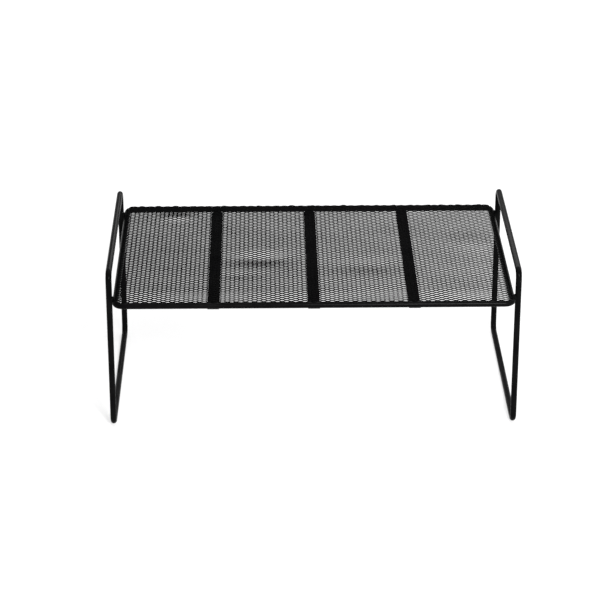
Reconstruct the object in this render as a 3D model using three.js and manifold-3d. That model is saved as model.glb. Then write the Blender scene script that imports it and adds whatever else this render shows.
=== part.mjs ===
// Cabinet shelf rack of welded, powder-coated steel wire.
// Two upright end loops carry a flat wire rim; expanded mesh lies on the rim and three strips stiffen it.
// Millimetres, +X along the shelf, +Y to the back, +Z up, origin on the floor midway between the skids.
import * as THREE from "three";
import { mergeGeometries, mergeVertices } from "three/addons/utils/BufferGeometryUtils.js";
import Module from "manifold-3d";

// Overall sizes, over the outside of the wire
const rackLength = 400;
const rackHeight = 166;
const shelfDepth = 250;
const shelfHeight = 139.5; // floor to the top of the rim wire

// Wire
const wireDiameter = 6;
const loopBendRadius = 8; // to the wire's centre line
const rimCornerRadius = 8; // to the wire's centre line
const wireSides = 12; // a flat faces each way along X, Y and Z
const bendSteps = 6; // per quarter turn
const legPastCorner = 7; // along the rim's side wire, from its corner's end to a leg's centre line

// Cross strips
const stripCount = 3;
const stripWidth = 11.5;
const stripThickness = 1.2;
const stripEdgeRadius = 0.3;
const stripEdgeSteps = 2; // per quarter turn
const stripEndInset = 1; // from the rim wire's centre line back to the strip's end

// Expanded mesh, drawn with wider diamonds than the real sheet's
const meshThickness = 1.2;
const meshInset = 0.5; // from the rim wire's centre line in to the sheet's edge
const meshBorder = 2; // closed edge where the strands end on the rim
const diamondLength = 38; // along X, rounded to a whole number over the shelf
const diamondWidth = 20; // along Y, rounded the same way
const strandWidth = 2;
const cutPast = 1; // how far the cut diamonds run past the sheet's faces

// Welds
const weldGap = 0.3; // left between two pieces that a weld joins
const collarSpread = 3.8; // from the contact out along each wire
const collarDepth = 2; // from the contact towards each wire's centre line
const collarSegments = 12;
const collarRings = 8;
const filletReach = 5; // from under the rim wire's centre line along the strip
const filletStart = 70; // degrees below level on the rim wire, at the root
const filletEnd = 30; // degrees below level on the rim wire, at the upper toe
const filletEndInset = 1; // from the strip's edge back to the fillet's end
const filletSteps = 4;

const wireRadius = wireDiameter / 2;
const loopX = rackLength / 2 - wireRadius;
const rimX = loopX - wireDiameter - weldGap;
const rimY = shelfDepth / 2 - wireRadius;
const legY = rimY - rimCornerRadius - legPastCorner;
const rimZ = shelfHeight - wireRadius;
const stripTop = rimZ - wireRadius - weldGap;
const rimInside = rimX - wireRadius;
const bayWidth = (2 * rimInside - stripCount * stripWidth) / (stripCount + 1);
const meshBottom = shelfHeight + weldGap;

const mergeDistance = 1e-4; // vertices closer than this are one

const wasm = await Module();
wasm.setup();

// Black powder coat, rougher where it lies on cut mesh and on weld metal
const coat = { color: 0x0d0d0e, metalness: 0.1 };
const finishes = {
  wire: { ...coat, roughness: 0.42 },
  mesh: { ...coat, roughness: 0.55 },
  strip: { ...coat, roughness: 0.5 },
  weld: { ...coat, roughness: 0.6 },
};

// A closed geometry as a solid that can be joined and cut.
function solidOf(geometry) {
  const bare = geometry.clone();
  bare.deleteAttribute("normal");
  bare.deleteAttribute("uv");
  const merged = mergeVertices(bare, mergeDistance);
  return new wasm.Manifold(
    new wasm.Mesh({
      numProp: 3,
      vertProperties: new Float32Array(merged.attributes.position.array),
      triVerts: new Uint32Array(merged.index.array),
    }),
  );
}

function geometryOf(solid) {
  const { vertProperties, triVerts } = solid.getMesh();
  const geometry = new THREE.BufferGeometry();
  geometry.setAttribute("position", new THREE.BufferAttribute(vertProperties, 3));
  geometry.setIndex(new THREE.BufferAttribute(triVerts, 1));
  geometry.computeVertexNormals();
  return geometry;
}

// A rectangle with round corners, centred on the origin, half sizes given.
function roundedRectangle(halfWidth, halfHeight, radius) {
  const shape = new THREE.Shape();
  const x = halfWidth - radius;
  const y = halfHeight - radius;
  shape.absarc(x, y, radius, 0, Math.PI / 2);
  shape.absarc(-x, y, radius, Math.PI / 2, Math.PI);
  shape.absarc(-x, -y, radius, Math.PI, 1.5 * Math.PI);
  shape.absarc(x, -y, radius, 1.5 * Math.PI, 2 * Math.PI);
  return shape;
}

// Wire bent round a closed rectangle in the XY plane: one ring of the round section stands at each point
// of the centre line, and the last ring joins the first.
function closedWire(halfWidth, halfHeight, bendRadius, diameter) {
  const corners = [
    [1, 1],
    [-1, 1],
    [-1, -1],
    [1, -1],
  ];
  const apothem = diameter / 2;
  const sectionRadius = apothem / Math.cos(Math.PI / wireSides);
  const positions = [];
  corners.forEach(([sideX, sideY], quarter) => {
    for (let step = 0; step <= bendSteps; step++) {
      const turn = (quarter + step / bendSteps) * (Math.PI / 2);
      const outward = new THREE.Vector2(Math.cos(turn), Math.sin(turn));
      const centreX = sideX * (halfWidth - bendRadius);
      const centreY = sideY * (halfHeight - bendRadius);
      for (let side = 0; side < wireSides; side++) {
        const angle = ((side + 0.5) * 2 * Math.PI) / wireSides;
        const reach = bendRadius + sectionRadius * Math.cos(angle);
        positions.push(
          centreX + outward.x * reach,
          centreY + outward.y * reach,
          sectionRadius * Math.sin(angle),
        );
      }
    }
  });
  const rings = positions.length / 3 / wireSides;
  const index = [];
  for (let ring = 0; ring < rings; ring++) {
    const here = ring * wireSides;
    const next = ((ring + 1) % rings) * wireSides;
    for (let side = 0; side < wireSides; side++) {
      const beside = (side + 1) % wireSides;
      index.push(here + side, next + side, next + beside);
      index.push(here + side, next + beside, here + beside);
    }
  }
  const geometry = new THREE.BufferGeometry();
  geometry.setAttribute("position", new THREE.Float32BufferAttribute(positions, 3));
  geometry.setIndex(index);
  geometry.computeVertexNormals();
  return geometry;
}

// End loop standing in the YZ plane, its bottom bar on the floor.
function endLoopGeometry(diameter) {
  const geometry = closedWire(legY, rackHeight / 2 - wireRadius, loopBendRadius, diameter);
  geometry.rotateX(Math.PI / 2);
  geometry.rotateZ(Math.PI / 2);
  geometry.translate(0, 0, rackHeight / 2);
  return geometry;
}

function rimGeometry(diameter) {
  const geometry = closedWire(rimX, rimY, rimCornerRadius, diameter);
  geometry.translate(0, 0, rimZ);
  return geometry;
}

// Flat strip along Y, its top face at height 0.
function stripGeometry() {
  const section = roundedRectangle(stripWidth / 2, stripThickness / 2, stripEdgeRadius);
  const length = 2 * (rimY - stripEndInset);
  const geometry = new THREE.ExtrudeGeometry(section, {
    depth: length,
    bevelEnabled: false,
    curveSegments: stripEdgeSteps,
  });
  geometry.translate(0, 0, -length / 2);
  geometry.rotateX(Math.PI / 2);
  geometry.translate(0, 0, -stripThickness / 2);
  return geometry;
}

// Plate with round corners, from one height to another.
function plateSolid(halfWidth, halfHeight, radius, bottom, top) {
  const geometry = new THREE.ExtrudeGeometry(roundedRectangle(halfWidth, halfHeight, radius), {
    depth: top - bottom,
    bevelEnabled: false,
    curveSegments: bendSteps,
  });
  return solidOf(geometry.translate(0, 0, bottom));
}

// Sheet of diamond mesh, its underside at height 0: the diamonds come a whole number each way and stop at
// the closed edge.
function meshSheetGeometry() {
  const outerX = rimX - meshInset;
  const outerY = rimY - meshInset;
  const outerRadius = rimCornerRadius - meshInset;
  const innerX = outerX - meshBorder;
  const innerY = outerY - meshBorder;
  const innerRadius = outerRadius - meshBorder;
  const columns = Math.round((2 * innerX) / diamondLength);
  const rows = Math.round((2 * innerY) / diamondWidth);
  const halfLength = innerX / columns;
  const halfWidth = innerY / rows;
  const openShare = 1 - (strandWidth / 2) * Math.hypot(1 / halfLength, 1 / halfWidth);

  const diamond = new THREE.Shape();
  diamond.moveTo(halfLength * openShare, 0);
  diamond.lineTo(0, halfWidth * openShare);
  diamond.lineTo(-halfLength * openShare, 0);
  diamond.lineTo(0, -halfWidth * openShare);
  diamond.closePath();

  const cutters = [];
  for (let column = -columns; column <= columns; column++) {
    for (let row = -rows; row <= rows; row++) {
      if ((column + row) % 2 === 0) continue;
      const cutter = new THREE.ExtrudeGeometry(diamond, {
        depth: meshThickness + 4 * cutPast,
        bevelEnabled: false,
      });
      cutter.translate(column * halfLength, row * halfWidth, -2 * cutPast);
      cutters.push(cutter);
    }
  }
  const inside = plateSolid(innerX, innerY, innerRadius, -cutPast, meshThickness + cutPast);
  const openings = solidOf(mergeGeometries(cutters)).intersect(inside);
  const sheet = plateSolid(outerX, outerY, outerRadius, 0, meshThickness);
  return geometryOf(sheet.subtract(openings));
}

// Ring of weld metal round the place where a leg touches the rim's side wire, in the rack's own frame.
function collarGeometry(sideX, sideY) {
  const blob = new THREE.SphereGeometry(1, collarSegments, collarRings);
  blob.scale(collarDepth, collarSpread, collarSpread);
  blob.translate(sideX * (loopX - wireRadius - weldGap / 2), sideY * legY, rimZ);
  const loop = endLoopGeometry(wireDiameter + 2 * weldGap);
  loop.translate(sideX * loopX, 0, 0);
  const rim = rimGeometry(wireDiameter + 2 * weldGap);
  return geometryOf(solidOf(blob).subtract(solidOf(loop)).subtract(solidOf(rim)));
}

// Fillet of weld metal along X between a strip's top face and the inner side of the rim wire.
// The section's origin is the rim wire's centre and its +x points into the shelf.
function filletGeometry() {
  const radians = THREE.MathUtils.degToRad;
  const clear = wireRadius + weldGap;
  const section = new THREE.Shape();
  section.moveTo(clear * Math.cos(radians(filletStart)), -clear);
  section.lineTo(filletReach, -clear);
  section.lineTo(clear * Math.cos(radians(filletEnd)), -clear * Math.sin(radians(filletEnd)));
  section.absarc(0, 0, clear, -radians(filletEnd), -radians(filletStart), true);
  section.closePath();
  const length = stripWidth - 2 * filletEndInset;
  const geometry = new THREE.ExtrudeGeometry(section, {
    depth: length,
    bevelEnabled: false,
    curveSegments: filletSteps,
  });
  geometry.translate(0, 0, -length / 2);
  geometry.rotateX(Math.PI / 2);
  geometry.rotateZ(Math.PI / 2);
  return geometry;
}

const rack = new THREE.Group();

function add(name, geometry, finish, x = 0, y = 0, z = 0) {
  const mesh = new THREE.Mesh(geometry, new THREE.MeshStandardMaterial(finish));
  mesh.name = name;
  mesh.position.set(x, y, z);
  rack.add(mesh);
  return mesh;
}

const ends = { left: -1, right: 1 };
const edges = { front: -1, rear: 1 };

for (const [end, sideX] of Object.entries(ends)) {
  add(`end_loop_${end}`, endLoopGeometry(wireDiameter), finishes.wire, sideX * loopX);
  for (const [edge, sideY] of Object.entries(edges)) {
    add(`weld_collar_${edge}_${end}`, collarGeometry(sideX, sideY), finishes.weld);
  }
}

add("shelf_rim", rimGeometry(wireDiameter), finishes.wire);
add("mesh_sheet", meshSheetGeometry(), finishes.mesh, 0, 0, meshBottom);

// The strips leave equal clear bays inside the rim.
for (let strip = 1; strip <= stripCount; strip++) {
  const x = strip * (bayWidth + stripWidth) - stripWidth / 2 - rimInside;
  add(`cross_strip_${strip}`, stripGeometry(), finishes.strip, x, 0, stripTop);
  for (const [edge, sideY] of Object.entries(edges)) {
    const name = `strip_weld_${strip}_${edge}`;
    const fillet = add(name, filletGeometry(), finishes.weld, x, sideY * rimY, rimZ);
    fillet.rotation.z = sideY > 0 ? Math.PI : 0;
  }
}

export default rack;
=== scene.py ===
import math

import bmesh
import bpy
from mathutils import Matrix, Vector, noise


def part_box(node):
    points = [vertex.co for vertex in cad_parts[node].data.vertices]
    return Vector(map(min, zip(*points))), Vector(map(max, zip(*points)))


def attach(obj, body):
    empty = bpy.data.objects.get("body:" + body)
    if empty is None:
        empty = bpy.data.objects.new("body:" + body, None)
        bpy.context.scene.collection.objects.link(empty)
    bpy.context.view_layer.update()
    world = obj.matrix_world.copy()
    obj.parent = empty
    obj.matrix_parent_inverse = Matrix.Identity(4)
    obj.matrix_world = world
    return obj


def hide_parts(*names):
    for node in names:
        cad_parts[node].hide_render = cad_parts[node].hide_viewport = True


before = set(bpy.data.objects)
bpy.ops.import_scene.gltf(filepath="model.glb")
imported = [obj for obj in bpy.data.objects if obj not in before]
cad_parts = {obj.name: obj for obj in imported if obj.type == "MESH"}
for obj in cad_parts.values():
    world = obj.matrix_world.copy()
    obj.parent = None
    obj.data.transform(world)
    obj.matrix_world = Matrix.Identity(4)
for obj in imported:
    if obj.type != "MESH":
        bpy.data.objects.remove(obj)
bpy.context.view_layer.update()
scene = bpy.context.scene
scene.view_settings.view_transform = "Standard"
mm = 0.001  # the pieces' own sizes are in millimetres
mergeDistance = 0.002 * mm
cutDistance = 0.0001 * mm
print("frame: loaded", len(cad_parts), "nodes")


# where the picture was taken from: millimetres from the frame's origin, and degrees
photoView = dict(
    lens=140.46,
    sensor=36,  # its width
    place=(-45.64, -2160.63, 1066.17),
    tiltDown=24.389,
    turnRight=0.9,
    clip=(0.05, 60),  # metres
)


def setCamera(view):
    data = bpy.data.cameras.new("photoCamera")
    data.sensor_fit = "HORIZONTAL"
    data.sensor_width = view["sensor"]
    data.lens = view["lens"]
    data.clip_start, data.clip_end = view["clip"]
    camera = bpy.data.objects.new("photoCamera", data)
    camera.location = Vector(view["place"]) * mm
    camera.rotation_euler = (math.radians(90 - view["tiltDown"]), 0, math.radians(-view["turnRight"]))
    scene.collection.objects.link(camera)
    scene.camera = camera


setCamera(photoView)
print("camera: at the photograph's view")


# node helpers for the materials
def addNode(tree, kind, **values):
    node = tree.nodes.new(kind)
    for name, value in values.items():
        if name in node.inputs:
            node.inputs[name].default_value = value
        else:
            setattr(node, name, value)
    return node


def addRange(tree, span, **values):
    node = addNode(tree, "ShaderNodeMapRange", **values)
    node.inputs["From Min"].default_value, node.inputs["From Max"].default_value = span
    return node


def newMaterial(name):
    material = bpy.data.materials.new(name)
    material.use_nodes = True
    material.node_tree.nodes.clear()
    return material


# a white room: what is seen of it glows, so that only a faint shadow is left; metres and watts
studio = dict(
    floorHalf=6.0,
    floorCells=4,
    floorColour=(0.8, 0.8, 0.8, 1),  # as it lights the rack
    shadowColour=(0.3, 0.3, 0.3, 1),  # its lit share where it is seen
    floorGlow=0.635,  # near the rack, rising to white away from it
    glowSpan=(0.35, 0.9),
    white=(1, 1, 1, 1),
    ambient=0.44,
    mirrored=0.465,  # the room's strength in the coat's gloss
    softboxes=dict(
        top=dict(size=(1.7, 1.2), place=(0.1, 0.35, 1.6), aim=(0, 0, 0), power=15),
        rear=dict(size=(1.0, 0.18), place=(0.24, 0.36, 0.4), aim=(0.06, 0, 0.16), power=2),
        front=dict(size=(0.4, 0.35), place=(0.35, -1.5, 1.05), aim=(0, 0, 0.1), power=46),
    ),
)


# 1 for rays that show the room, straight or in a gloss, and 0 for those that only light things
def seenRay(tree):
    path = addNode(tree, "ShaderNodeLightPath")
    mirrored = addNode(tree, "ShaderNodeMath", operation="MAXIMUM")
    tree.links.new(path.outputs["Is Glossy Ray"], mirrored.inputs[0])
    tree.links.new(path.outputs["Is Transmission Ray"], mirrored.inputs[1])
    seen = addNode(tree, "ShaderNodeMath", operation="MAXIMUM")
    tree.links.new(path.outputs["Is Camera Ray"], seen.inputs[0])
    tree.links.new(mirrored.outputs[0], seen.inputs[1])
    return seen.outputs[0]


def layFloor(plan):
    bm = bmesh.new()
    bmesh.ops.create_grid(bm, x_segments=plan["floorCells"], y_segments=plan["floorCells"],
                          size=plan["floorHalf"])
    mesh = bpy.data.meshes.new("studioFloor")
    bm.to_mesh(mesh)
    bm.free()
    floor = bpy.data.objects.new("studioFloor", mesh)
    scene.collection.objects.link(floor)
    material = newMaterial("paleFloor")
    tree = material.node_tree
    plain = addNode(tree, "ShaderNodeBsdfDiffuse", Color=plan["floorColour"])
    shaded = addNode(tree, "ShaderNodeBsdfDiffuse", Color=plan["shadowColour"])
    place = addNode(tree, "ShaderNodeTexCoord")
    away = addNode(tree, "ShaderNodeVectorMath", operation="LENGTH")
    tree.links.new(place.outputs["Object"], away.inputs[0])
    rise = addRange(tree, plan["glowSpan"], interpolation_type="SMOOTHSTEP")
    rise.inputs["To Min"].default_value = plan["floorGlow"]
    tree.links.new(away.outputs["Value"], rise.inputs["Value"])
    glow = addNode(tree, "ShaderNodeEmission")
    tree.links.new(rise.outputs[0], glow.inputs["Strength"])
    white = addNode(tree, "ShaderNodeAddShader")
    tree.links.new(shaded.outputs[0], white.inputs[0])
    tree.links.new(glow.outputs[0], white.inputs[1])
    pick = addNode(tree, "ShaderNodeMixShader")
    tree.links.new(seenRay(tree), pick.inputs[0])
    tree.links.new(plain.outputs[0], pick.inputs[1])
    tree.links.new(white.outputs[0], pick.inputs[2])
    out = addNode(tree, "ShaderNodeOutputMaterial")
    tree.links.new(pick.outputs[0], out.inputs["Surface"])
    mesh.materials.append(material)


def hangSoftbox(name, plan):
    data = bpy.data.lights.new(name + "Softbox", "AREA")
    data.shape = "RECTANGLE"
    data.size, data.size_y = plan["size"]
    data.energy = plan["power"]
    lamp = bpy.data.objects.new(name + "Softbox", data)
    lamp.location = plan["place"]
    facing = Vector(plan["place"]) - Vector(plan["aim"])
    lamp.rotation_euler = facing.to_track_quat("Z", "Y").to_euler()
    lamp.visible_camera = False
    scene.collection.objects.link(lamp)


def setWorld(plan):
    world = bpy.data.worlds.new("studioWorld")
    world.use_nodes = True
    tree = world.node_tree
    tree.nodes.clear()
    room = addNode(tree, "ShaderNodeBackground", Color=plan["white"], Strength=plan["ambient"])
    white = addNode(tree, "ShaderNodeBackground", Color=plan["white"])
    path = addNode(tree, "ShaderNodeLightPath")
    level = addNode(tree, "ShaderNodeMapRange")
    level.inputs["To Min"].default_value = plan["mirrored"]
    tree.links.new(path.outputs["Is Camera Ray"], level.inputs["Value"])
    tree.links.new(level.outputs[0], white.inputs["Strength"])
    pick = addNode(tree, "ShaderNodeMixShader")
    tree.links.new(seenRay(tree), pick.inputs[0])
    tree.links.new(room.outputs[0], pick.inputs[1])
    tree.links.new(white.outputs[0], pick.inputs[2])
    out = addNode(tree, "ShaderNodeOutputWorld")
    tree.links.new(pick.outputs[0], out.inputs["Surface"])
    scene.world = world


layFloor(studio)
for name, softbox in studio["softboxes"].items():
    hangSoftbox(name, softbox)
setWorld(studio)
print("studio: floor, softboxes and world ready")


# satin black powder coat: orange peel, gloss that drifts along the work, and a fine grey bloom
coatTexture = dict(
    drift=dict(Detail=4.0, Roughness=0.55),
    peel=dict(Detail=2.0, Roughness=0.45),
    specks=dict(Scale=2600.0),
    fleckSpan=(0.12, 0.02),  # from a speck's edge to its middle
    fleckShare=0.35,
    cloudSpan=(0.35, 0.75),  # of the drift, from plain coat to bloom
    glossSpan=(0.3, 0.7),
)


def makeCoatGroup(plan):
    group = bpy.data.node_groups.new("powderCoat", "ShaderNodeTree")
    given = {"Vector": "Vector", "Coat": "Color", "Bloom": "Color", "Peel Size": "Float",
             "Drift Size": "Float", "Gloss Low": "Float", "Gloss High": "Float"}
    made = {"Color": "Color", "Roughness": "Float", "Height": "Float"}
    for side, sockets in (("INPUT", given), ("OUTPUT", made)):
        for name, kind in sockets.items():
            group.interface.new_socket(name=name, in_out=side, socket_type="NodeSocket" + kind)
    links = group.links
    entry = addNode(group, "NodeGroupInput")
    drift = addNode(group, "ShaderNodeTexNoise", **plan["drift"])
    links.new(entry.outputs["Vector"], drift.inputs["Vector"])
    links.new(entry.outputs["Drift Size"], drift.inputs["Scale"])
    peel = addNode(group, "ShaderNodeTexNoise", **plan["peel"])
    links.new(entry.outputs["Vector"], peel.inputs["Vector"])
    links.new(entry.outputs["Peel Size"], peel.inputs["Scale"])
    specks = addNode(group, "ShaderNodeTexVoronoi", **plan["specks"])
    links.new(entry.outputs["Vector"], specks.inputs["Vector"])
    fleck = addRange(group, plan["fleckSpan"])
    links.new(specks.outputs["Distance"], fleck.inputs["Value"])
    cloud = addRange(group, plan["cloudSpan"])
    links.new(drift.outputs["Fac"], cloud.inputs["Value"])
    bloom = addNode(group, "ShaderNodeMath", operation="MULTIPLY_ADD", use_clamp=True)
    links.new(fleck.outputs[0], bloom.inputs[0])
    bloom.inputs[1].default_value = plan["fleckShare"]
    links.new(cloud.outputs[0], bloom.inputs[2])
    tone = addNode(group, "ShaderNodeMix", data_type="RGBA")
    links.new(bloom.outputs[0], tone.inputs["Factor"])
    links.new(entry.outputs["Coat"], tone.inputs[6])  # 6, 7 and 2 are the node's colour sockets
    links.new(entry.outputs["Bloom"], tone.inputs[7])
    gloss = addRange(group, plan["glossSpan"])
    links.new(drift.outputs["Fac"], gloss.inputs["Value"])
    links.new(entry.outputs["Gloss Low"], gloss.inputs["To Min"])
    links.new(entry.outputs["Gloss High"], gloss.inputs["To Max"])
    result = addNode(group, "NodeGroupOutput")
    links.new(tone.outputs[2], result.inputs["Color"])
    links.new(gloss.outputs[0], result.inputs["Roughness"])
    links.new(peel.outputs["Fac"], result.inputs["Height"])
    return group


coatGroup = makeCoatGroup(coatTexture)


def makeCoat(name, finish):
    material = newMaterial(name)
    tree = material.node_tree
    place = addNode(tree, "ShaderNodeTexCoord")
    coat = addNode(tree, "ShaderNodeGroup", node_tree=coatGroup)
    tree.links.new(place.outputs["Object"], coat.inputs["Vector"])
    for socket, value in finish["coat"].items():
        coat.inputs[socket].default_value = value
    bump = addNode(tree, "ShaderNodeBump", Strength=finish["peelStrength"],
                   Distance=finish["peelDepth"] * mm)
    tree.links.new(coat.outputs["Height"], bump.inputs["Height"])
    shader = addNode(tree, "ShaderNodeBsdfPrincipled")
    shader.inputs["Specular IOR Level"].default_value = finish["specular"]
    tree.links.new(coat.outputs["Color"], shader.inputs["Base Color"])
    tree.links.new(coat.outputs["Roughness"], shader.inputs["Roughness"])
    tree.links.new(bump.outputs["Normal"], shader.inputs["Normal"])
    out = addNode(tree, "ShaderNodeOutputMaterial")
    tree.links.new(shader.outputs[0], out.inputs["Surface"])
    return material


# colours, noise scales per metre, and the depth of the peel in millimetres
finishes = dict(
    wireCoat=dict(
        coat={"Coat": (0.0017, 0.0017, 0.0018, 1), "Bloom": (0.0039, 0.0039, 0.004, 1),
              "Peel Size": 900, "Drift Size": 60, "Gloss Low": 0.24, "Gloss High": 0.32},
        peelStrength=0.5, peelDepth=0.03, specular=0.02),
    meshCoat=dict(
        coat={"Coat": (0.0009, 0.0009, 0.001, 1), "Bloom": (0.0023, 0.0023, 0.0024, 1),
              "Peel Size": 2200, "Drift Size": 35, "Gloss Low": 0.42, "Gloss High": 0.58},
        peelStrength=0.3, peelDepth=0.03, specular=0.01),
    stripCoat=dict(
        coat={"Coat": (0.0008, 0.0008, 0.0009, 1), "Bloom": (0.004, 0.004, 0.0041, 1),
              "Peel Size": 800, "Drift Size": 70, "Gloss Low": 0.42, "Gloss High": 0.56},
        peelStrength=0.35, peelDepth=0.06, specular=0.006),
    weldCoat=dict(
        coat={"Coat": (0.0022, 0.0022, 0.0023, 1), "Bloom": (0.0055, 0.0055, 0.0056, 1),
              "Peel Size": 1300, "Drift Size": 220, "Gloss Low": 0.5, "Gloss High": 0.68},
        peelStrength=0.5, peelDepth=0.08, specular=0.025),
)
coats = {name: makeCoat(name, finish) for name, finish in finishes.items()}
print("materials:", ", ".join(coats))


# every finished piece: normals out, its coat, its body, and the node it stands for, which is hidden
def finishPiece(bm, name, coat, node, smooth=True):
    bmesh.ops.recalc_face_normals(bm, faces=bm.faces[:])
    for face in bm.faces:
        face.smooth = smooth
    mesh = bpy.data.meshes.new(name)
    bm.to_mesh(mesh)
    bm.free()
    mesh.materials.append(coats[coat])
    piece = bpy.data.objects.new(name, mesh)
    scene.collection.objects.link(piece)
    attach(piece, "root")
    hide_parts(node)
    return piece


def nodeBox(node):
    low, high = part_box(node)
    return Vector(low), Vector(high)


def vertsOf(geometry):
    return [part for part in geometry if isinstance(part, bmesh.types.BMVert)]


def edgesAmong(verts):
    chosen = set(verts)
    linked = [edge for vert in verts for edge in vert.link_edges if edge.other_vert(vert) in chosen]
    return list(dict.fromkeys(linked))  # each once, always in the same order


# round wire: a ring of edges that is run straight, necked or swelled, and spun round the bends
def startWire(bm, radius, sides, place, heading):
    ring = bmesh.ops.create_circle(bm, cap_ends=False, segments=sides, radius=radius)["verts"]
    turn = Vector((0, 0, 1)).rotation_difference(heading).to_matrix()
    bmesh.ops.rotate(bm, cent=(0, 0, 0), matrix=turn, verts=ring)
    bmesh.ops.translate(bm, vec=place, verts=ring)
    return dict(bm=bm, ring=ring, place=place.copy(), heading=heading.copy(), share=1.0)


def neckWire(wire, share):
    factor = share / wire["share"]
    around = Matrix.Translation(-wire["place"])
    bmesh.ops.scale(wire["bm"], vec=(factor, factor, factor), space=around, verts=wire["ring"])
    wire["share"] = share


def runWire(wire, length, share=1.0):
    grown = bmesh.ops.extrude_edge_only(wire["bm"], edges=edgesAmong(wire["ring"]))
    wire["ring"] = vertsOf(grown["geom"])
    step = wire["heading"] * length
    bmesh.ops.translate(wire["bm"], vec=step, verts=wire["ring"])
    wire["place"] += step
    neckWire(wire, share)


def bendWire(wire, axis, radius, steps):
    centre = wire["place"] + axis.cross(wire["heading"]) * radius
    spun = bmesh.ops.spin(wire["bm"], geom=wire["ring"] + edgesAmong(wire["ring"]), cent=centre,
                          axis=axis, dvec=(0, 0, 0), angle=math.pi / 2, steps=steps,
                          use_merge=False, use_duplicate=False)
    wire["ring"] = vertsOf(spun["geom_last"])
    wire["heading"] = axis.cross(wire["heading"])
    wire["place"] = centre - axis.cross(wire["heading"]) * radius


def closedWire(plan, radius, start, heading, axis, runs):
    bm = bmesh.new()
    wire = startWire(bm, radius, plan["sides"], start, heading)
    reach = plan["seamReach"] * mm
    neck = plan["seamNeck"]
    half = (1 + neck) / 2
    neckWire(wire, neck)  # the butt weld, dressed back a little below the wire
    runWire(wire, reach, half)
    runWire(wire, reach)
    runs = [runs[0] - 2 * reach] + runs[1:-1] + [runs[-1] - 2 * reach]
    for count, run in enumerate(runs):
        runWire(wire, run)
        if count < len(runs) - 1:
            bendWire(wire, axis, plan["bendRadius"] * mm, plan["bendSteps"])
    runWire(wire, reach, half)
    runWire(wire, reach, neck)
    bmesh.ops.remove_doubles(bm, verts=bm.verts[:], dist=mergeDistance)
    return bm


endLoop = dict(bendRadius=8, bendSteps=14, sides=32, seamReach=0.5, seamNeck=0.965)


def makeEndLoop(side):
    low, high = nodeBox("end_loop_" + side)
    radius = (high.x - low.x) / 2
    bend = endLoop["bendRadius"] * mm
    half = high.y - radius - bend
    rise = high.z - low.z - 2 * radius - 2 * bend
    start = Vector(((low.x + high.x) / 2, 0, low.z + radius))
    runs = [half, rise, 2 * half, rise, half]
    bm = closedWire(endLoop, radius, start, Vector((0, 1, 0)), Vector((1, 0, 0)), runs)
    finishPiece(bm, "loop_wire_" + side, "wireCoat", "end_loop_" + side)


for side in ("left", "right"):
    makeEndLoop(side)
print("end loops: two bent and butt welded")


shelfRim = dict(bendRadius=8, bendSteps=18, sides=32, seamReach=0.5, seamNeck=0.965, seamAlong=48.7)


def makeShelfRim():
    low, high = nodeBox("shelf_rim")
    radius = (high.z - low.z) / 2
    bend = shelfRim["bendRadius"] * mm
    seam = shelfRim["seamAlong"] * mm
    along = high.x - radius - bend
    across = high.y - radius - bend
    start = Vector((seam, high.y - radius, low.z + radius))
    runs = [along - seam, 2 * across, 2 * along, 2 * across, along + seam]
    bm = closedWire(shelfRim, radius, start, Vector((1, 0, 0)), Vector((0, 0, -1)), runs)
    finishPiece(bm, "rim_wire", "wireCoat", "shelf_rim")


makeShelfRim()
print("shelf rim: bent and butt welded")


# raised expanded metal: one period of a strand, a second strand half a diamond on, then rows of both
diamondMesh = dict(
    long=8.76,  # diamond, centre to centre along the shelf
    short=4.25,  # across it, rounded so that whole strands lie on both long edges
    strand=0.64,
    sheet=0.5,
    tilt=22,  # of the strands, degrees
    bond=1.7,  # length of a knuckle
    shadeThickening=dict(left=0.01, right=-0.019, front=0.008, rear=-0.008),  # strand thickening over the mean, mm: thicker at the left and thinner at the right is painted shade, darker towards the left; thicker at the front and thinner at the rear
    edgePast=0.8,  # the sheet's edge past the rim's centre line
    sink=0.15,  # into the rim's crown
    cornerCuts=6,
    cornerReach=2,  # diamonds inward from a corner's arc that its cuts reach
    wave=0.35,
    waveLong=70,
    waveAcross=42,
    waveSeed=3.1,
    edgeFade=16,
    crown=0.9,  # the sheet's rise behind its front edge, lost slowly towards the rear one
    crownReach=26,
    dents=(  # along, across, reach along, reach across, depth
        (-53, -18, 28, 14, 1.5),
        (-70, -60, 24, 10, 0.5),
        (50, -38, 40, 17, 0.7),
        (165, 18, 24, 22, -0.7),
        (-138, 91, 16, 10, -0.9),
    ),
    tackSize=(1.4, 1.0, 0.5),  # along the wire, across it, high
    tackFaces=(8, 5),  # around, upward
    tackInset=0.7,  # of edgePast
    tackGrain=7,  # over which their size and shift change
    tackRear=(2.2, 1.0, 2.1),  # times as large on the rear wire
    tackKnuckles=2,  # knuckles from one tack to the next on the long wires
    tackRows=4,  # strands on the short ones
    tackUneven=0.7,
    tackShift=0.4,  # of the spacing
    tackSeed=5,
)


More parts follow.
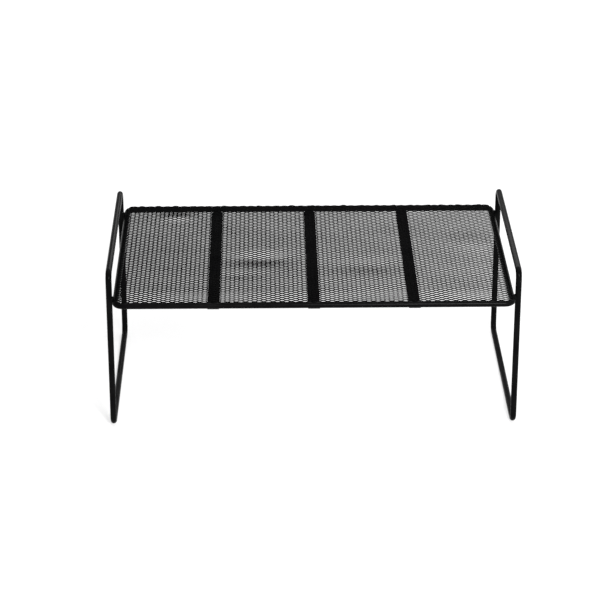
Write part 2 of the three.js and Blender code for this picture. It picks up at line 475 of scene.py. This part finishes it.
def strandPeriod(bm, plan, short):
    tilt = math.radians(plan["tilt"])
    across = Vector((0, math.cos(tilt), math.sin(tilt)))
    width = plan["strand"] * mm
    square = bmesh.ops.create_circle(bm, cap_ends=False, segments=4, radius=math.sqrt(0.5))["verts"]
    bmesh.ops.rotate(bm, cent=(0, 0, 0), matrix=Matrix.Rotation(math.pi / 4, 3, "Z"), verts=square)
    bmesh.ops.scale(bm, vec=(width, plan["sheet"] * mm, 1), verts=square)
    bmesh.ops.rotate(bm, cent=(0, 0, 0), matrix=Matrix(((0, 0, 1), (1, 0, 0), (0, 1, 0))), verts=square)
    bmesh.ops.rotate(bm, cent=(0, 0, 0), matrix=Matrix.Rotation(tilt, 3, "X"), verts=square)
    flat = Vector((plan["bond"] * mm, 0, 0))
    rise = Vector((plan["long"] / 2 * mm, short / 2, 0)) - flat - across * width
    fall = Vector((rise.x, -rise.y, -rise.z))
    bmesh.ops.translate(bm, vec=across * width / 2 - flat / 2, verts=square)
    joined = []
    for step, side in ((flat, -1), (rise, 0), (flat, 1), (fall, 0)):
        grown = bmesh.ops.extrude_edge_only(bm, edges=edgesAmong(square))["geom"]
        square = vertsOf(grown)
        bmesh.ops.translate(bm, vec=step, verts=square)
        walls = [part for part in grown if isinstance(part, bmesh.types.BMFace)]
        if side:
            joined.append(max(walls, key=lambda wall: side * wall.calc_center_median().dot(across)))
    bmesh.ops.delete(bm, geom=joined, context="FACES_ONLY")  # the next strand grows on there


def repeatSheet(bm, name, steps):
    mesh = bpy.data.meshes.new(name)
    bm.to_mesh(mesh)
    carrier = bpy.data.objects.new(name, mesh)
    scene.collection.objects.link(carrier)
    for offset, count in steps:
        rows = carrier.modifiers.new("rows", "ARRAY")
        rows.use_relative_offset = False
        rows.use_constant_offset = True
        rows.constant_offset_displace = offset
        rows.count = count
    made = carrier.evaluated_get(bpy.context.evaluated_depsgraph_get()).to_mesh()
    bm.clear()
    bm.from_mesh(made)
    bpy.data.objects.remove(carrier)
    bpy.data.meshes.remove(mesh)


def trimSheet(bm, point, outward, near=None):
    faces = bm.faces[:]
    if near:
        faces = [face for face in faces if near(face.calc_center_median())]
    verts = dict.fromkeys(vert for face in faces for vert in face.verts)
    edges = dict.fromkeys(edge for face in faces for edge in face.edges)
    bmesh.ops.bisect_plane(bm, geom=[*verts, *edges, *faces], dist=cutDistance, plane_co=point,
                           plane_no=outward, clear_outer=True)


def easeIn(share):
    share = min(max(share, 0), 1)
    return share * share * (3 - 2 * share)


def sheetDrift(place, half, plan):
    x, y = place.x / mm, place.y / mm
    fade = easeIn((half.x / mm - abs(x)) / plan["edgeFade"])
    spot = Vector((x / plan["waveLong"], y / plan["waveAcross"], plan["waveSeed"]))
    drift = plan["wave"] * noise.noise(spot)
    for dentX, dentY, reachX, reachY, depth in plan["dents"]:
        drift -= depth * math.exp(-((x - dentX) / reachX) ** 2 - ((y - dentY) / reachY) ** 2)
    drift *= easeIn((half.y / mm - abs(y)) / plan["edgeFade"])
    back = (y * mm / half.y + 1) / 2
    drift += plan["crown"] * easeIn((half.y / mm + y) / plan["crownReach"]) * (1 - back * back)
    return drift * fade * mm


# thickens the strands along their normals; the left-to-right part is painted shade that darkens the
# sheet towards the left
def thickenStrands(bm, half, thickening):
    bm.normal_update()
    for vert in bm.verts:
        toRight = (vert.co.x / half.x + 1) / 2
        toRear = (vert.co.y / half.y + 1) / 2
        added = thickening["left"] * (1 - toRight) + thickening["right"] * toRight
        added += thickening["front"] * (1 - toRear) + thickening["rear"] * toRear
        vert.co += vert.normal * vert.calc_shell_factor() * added * mm


def seatSheet(bm, half, level):
    def lowest(side):
        return min(vert.co.z for vert in bm.verts if vert.co.y * side > half.y - mm)

    front, rear = lowest(-1), lowest(1)
    for vert in bm.verts:
        back = (vert.co.y / half.y + 1) / 2
        vert.co.z += level - front * (1 - back) - rear * back


def addTacks(bm, plan, half, level, radius, short):
    noise.seed_set(plan["tackSeed"])  # noise_vector starts from the clock otherwise
    size = Vector(plan["tackSize"]) * mm
    rearSize = size * Vector(plan["tackRear"])
    inner = half - Vector((plan["tackInset"], plan["tackInset"], 0)) * plan["edgePast"] * mm
    around, upward = plan["tackFaces"]
    blobs = bmesh.new()
    tacks = 0
    for side in (1, -1):
        long = dict(run=Vector((1, 0, 0)), middle=Vector((0, side * inner.y, level)), reach=half.x,
                    pitch=plan["tackKnuckles"] * plan["long"] * mm, size=rearSize if side > 0 else size)
        flank = dict(run=Vector((0, 1, 0)), middle=Vector((side * inner.x, 0, level)), reach=half.y,
                     pitch=plan["tackRows"] * short / 2, size=size.yxz)
        for row in (long, flank):
            count = int((row["reach"] - radius) / row["pitch"])
            for tack in range(-count, count + 1):
                spot = row["middle"] + row["run"] * row["pitch"] * tack
                chance = noise.noise_vector(spot / mm / plan["tackGrain"])
                spot += row["run"] * row["pitch"] * plan["tackShift"] * chance.x
                blob = bmesh.ops.create_uvsphere(blobs, u_segments=around, v_segments=upward,
                                                 radius=1)["verts"]
                bmesh.ops.scale(blobs, vec=row["size"] * (1 + plan["tackUneven"] * chance.y), verts=blob)
                bmesh.ops.translate(blobs, vec=spot, verts=blob)
            tacks += 2 * count + 1
    carrier = bpy.data.meshes.new("tacks")
    blobs.to_mesh(carrier)
    blobs.free()
    bm.from_mesh(carrier)
    bpy.data.meshes.remove(carrier)
    return tacks


def makeDiamondMesh(plan):
    rimLow, rimHigh = nodeBox("shelf_rim")
    wireRadius = (rimHigh.z - rimLow.z) / 2
    past = plan["edgePast"] * mm
    half = Vector((rimHigh.x - wireRadius + past, rimHigh.y - wireRadius + past, 0))
    pairs = round(2 * half.y / mm / plan["short"])
    short = 2 * half.y / pairs
    long = plan["long"] * mm
    columns = 2 * math.ceil(half.x / long) + 2
    bm = bmesh.new()
    strandPeriod(bm, plan, short)
    second = bmesh.ops.duplicate(bm, geom=bm.verts[:] + bm.edges[:] + bm.faces[:])["geom"]
    bmesh.ops.translate(bm, vec=(long / 2, short / 2, 0), verts=vertsOf(second))
    repeatSheet(bm, "strandRows", (((long, 0, 0), columns), ((0, short, 0), pairs)))
    bmesh.ops.translate(bm, vec=(-long * columns / 2, -half.y, 0), verts=bm.verts[:])
    bmesh.ops.remove_doubles(bm, verts=bm.verts[:], dist=mergeDistance)
    for side in (1, -1):
        trimSheet(bm, (side * half.x, 0, 0), (side, 0, 0))
    radius = shelfRim["bendRadius"] * mm + past
    reach = plan["cornerReach"]
    for signX, signY in ((1, 1), (-1, 1), (-1, -1), (1, -1)):
        centre = Vector((signX * (half.x - radius), signY * (half.y - radius), 0))

        def inCorner(spot):
            return ((spot.x - centre.x) * signX > -reach * long
                    and (spot.y - centre.y) * signY > -reach * short)

        for cut in range(plan["cornerCuts"]):
            angle = math.pi / 2 * (cut + 1) / (plan["cornerCuts"] + 1)
            outward = Vector((signX * math.cos(angle), signY * math.sin(angle), 0))
            trimSheet(bm, centre + outward * radius, outward, inCorner)
    bmesh.ops.holes_fill(bm, edges=[edge for edge in bm.edges if edge.is_boundary], sides=0)
    bmesh.ops.recalc_face_normals(bm, faces=bm.faces[:])
    thickenStrands(bm, half, plan["shadeThickening"])
    for vert in bm.verts:
        vert.co.z += sheetDrift(vert.co, half, plan)
    level = rimHigh.z - plan["sink"] * mm
    seatSheet(bm, half, level)
    tacks = addTacks(bm, plan, half, level, radius, short)
    openEdges = sum(1 for edge in bm.edges if not edge.is_manifold)
    print("diamond mesh:", columns, "by", pairs, "diamonds,", tacks, "tacks,", len(bm.faces), "faces,",
          openEdges, "open edges")
    finishPiece(bm, "diamond_mesh", "meshCoat", "mesh_sheet", smooth=False)


makeDiamondMesh(diamondMesh)


flatStrip = dict(
    cornerRadius=0.8,
    cornerSteps=3,
    easedEdge=0.3,
    easedSteps=3,
    cuts=24,
    endClear=4,  # uncut length, both ends together
    bow=0.18,
    bowLong=60,
    bowSeeds=(3.7, 0.4),
    sharpFrom=40,  # degrees
)


def makeFlatStrip(number):
    node = "cross_strip_%d" % number
    low, high = nodeBox(node)
    size = high - low
    middle = (low + high) / 2
    bm = bmesh.new()
    bar = bmesh.ops.create_cube(bm, size=1)["verts"]
    bmesh.ops.scale(bm, vec=size, verts=bar)
    upright = [edge for edge in bm.edges if abs(edge.verts[0].co.z - edge.verts[1].co.z) > size.z / 2]
    bmesh.ops.bevel(bm, geom=upright, offset=flatStrip["cornerRadius"] * mm, affect="EDGES",
                    segments=flatStrip["cornerSteps"], profile=0.5, material=-1)
    outline = [edge for edge in bm.edges if abs(edge.verts[0].co.z - edge.verts[1].co.z) < size.z / 100]
    bmesh.ops.bevel(bm, geom=outline, offset=flatStrip["easedEdge"] * mm, affect="EDGES",
                    segments=flatStrip["easedSteps"], profile=0.5, material=-1)
    for cut in range(1, flatStrip["cuts"]):
        along = (cut / flatStrip["cuts"] - 0.5) * (size.y - flatStrip["endClear"] * mm)
        bmesh.ops.bisect_plane(bm, geom=bm.verts[:] + bm.edges[:] + bm.faces[:], dist=cutDistance,
                               plane_co=(0, along, 0), plane_no=(0, 1, 0))
    seed, shift = flatStrip["bowSeeds"]
    for vert in bm.verts:
        share = max(0, 1 - (2 * vert.co.y / size.y) ** 2)
        lift = noise.noise(Vector((number * seed, vert.co.y / mm / flatStrip["bowLong"], shift)))
        vert.co.z += flatStrip["bow"] * mm * share * lift
    bmesh.ops.translate(bm, vec=middle, verts=bm.verts[:])
    strip = finishPiece(bm, "flat_strip_%d" % number, "stripCoat", node)
    strip.data.set_sharp_from_angle(angle=math.radians(flatStrip["sharpFrom"]))


for number in (1, 2, 3):
    makeFlatStrip(number)
print("flat strips: three")


# resistance weld where a leg passes the rim: squeezed metal all round the crossing
loopWeld = dict(detail=4, thick=1.4, shrink=0.86, saddle=0.105, lump=0.14, lumpSize=1.6)


def makeLoopWeld(end, side):
    node = "weld_collar_%s_%s" % (end, side)
    low, high = nodeBox(node)
    middle = (low + high) / 2
    half = (high - low) / 2
    toLeg = 1 if side == "right" else -1
    bm = bmesh.new()
    bmesh.ops.create_icosphere(bm, subdivisions=loopWeld["detail"], radius=1)
    spread = half * loopWeld["shrink"]
    bmesh.ops.scale(bm, vec=(loopWeld["thick"] * mm, spread.y, spread.z), verts=bm.verts[:])
    for vert in bm.verts:
        y, z = vert.co.y / mm, vert.co.z / mm
        lump = 1 + loopWeld["lump"] * noise.noise((vert.co + middle) / mm / loopWeld["lumpSize"])
        vert.co *= lump
        vert.co.x += toLeg * loopWeld["saddle"] * (y * y - z * z) * mm
    bmesh.ops.translate(bm, vec=middle, verts=bm.verts[:])
    finishPiece(bm, "loop_weld_%s_%s" % (end, side), "weldCoat", node)


# fillet bead between a strip's end and the rim's underside
stripWeld = dict(
    sides=16,
    rings=26,
    ripples=6,
    ripple=0.05,
    roundEnd=7,  # power of the taper
    endShare=0.02,
    width=0.92,  # of the node's box
    height=0.95,
    lump=0.08,
    lumpSize=1.4,
)


def makeStripWeld(number, end):
    node = "strip_weld_%d_%s" % (number, end)
    low, high = nodeBox(node)
    size = high - low
    middle = (low + high) / 2
    bm = bmesh.new()
    heading = Vector((1, 0, 0))
    rings = stripWeld["rings"]
    shares = []
    for ring in range(rings + 1):
        along = ring / rings
        rounded = max(1 - abs(2 * along - 1) ** stripWeld["roundEnd"], stripWeld["endShare"]) ** 0.5
        ripple = stripWeld["ripple"] * math.sin(2 * math.pi * stripWeld["ripples"] * along)
        shares.append(rounded * (1 + ripple))
    wire = startWire(bm, size.y / 2, stripWeld["sides"], Vector((-size.x / 2, 0, 0)), heading)
    neckWire(wire, shares[0])
    first = edgesAmong(wire["ring"])
    for share in shares[1:]:
        runWire(wire, size.x / rings, share)
    bmesh.ops.holes_fill(bm, edges=first + edgesAmong(wire["ring"]), sides=0)
    flatten = stripWeld["height"] * size.z / size.y
    bmesh.ops.scale(bm, vec=(1, stripWeld["width"], flatten), verts=bm.verts[:])
    for vert in bm.verts:
        lump = 1 + stripWeld["lump"] * noise.noise((vert.co + middle) / mm / stripWeld["lumpSize"])
        vert.co.y *= lump
        vert.co.z *= lump
    bmesh.ops.translate(bm, vec=middle, verts=bm.verts[:])
    finishPiece(bm, "strip_bead_%d_%s" % (number, end), "weldCoat", node)


for end in ("front", "rear"):
    for side in ("left", "right"):
        makeLoopWeld(end, side)
    for number in (1, 2, 3):
        makeStripWeld(number, end)
print("welds: four at the legs, six under the rim")
